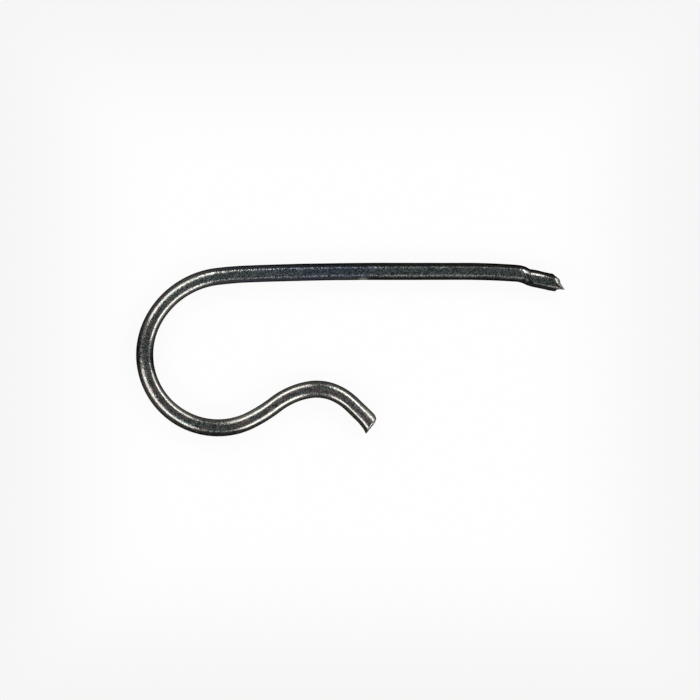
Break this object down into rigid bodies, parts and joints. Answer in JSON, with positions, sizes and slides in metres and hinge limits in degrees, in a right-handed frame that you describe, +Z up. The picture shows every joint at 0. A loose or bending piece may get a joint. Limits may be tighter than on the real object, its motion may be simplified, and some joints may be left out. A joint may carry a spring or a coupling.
{
  "type": "watch yoke spring",
  "caption": "Bent wire spring with a long straight arm, an open round loop and a hooked foot, for pressing a watch's yoke towards the winding stem.",
  "frame": {"origin": "centre of the loop's bend, on the plane that the spring lies on", "axes": "+X along the straight part of the arm, from the loop towards the arm's end; +Y from the foot's side towards the arm's side; +Z up, through the thickness of the wire"},
  "size_m": [0.0063, 0.0025, 0.0002],
  "materials": {
    "spring_steel": "dark drawn wire, fine grain along its length, bright at the highlights"
  },
  "bodies": {
    "root": {"yoke_spring": "spring_steel"}
  },
  "joints": []
}
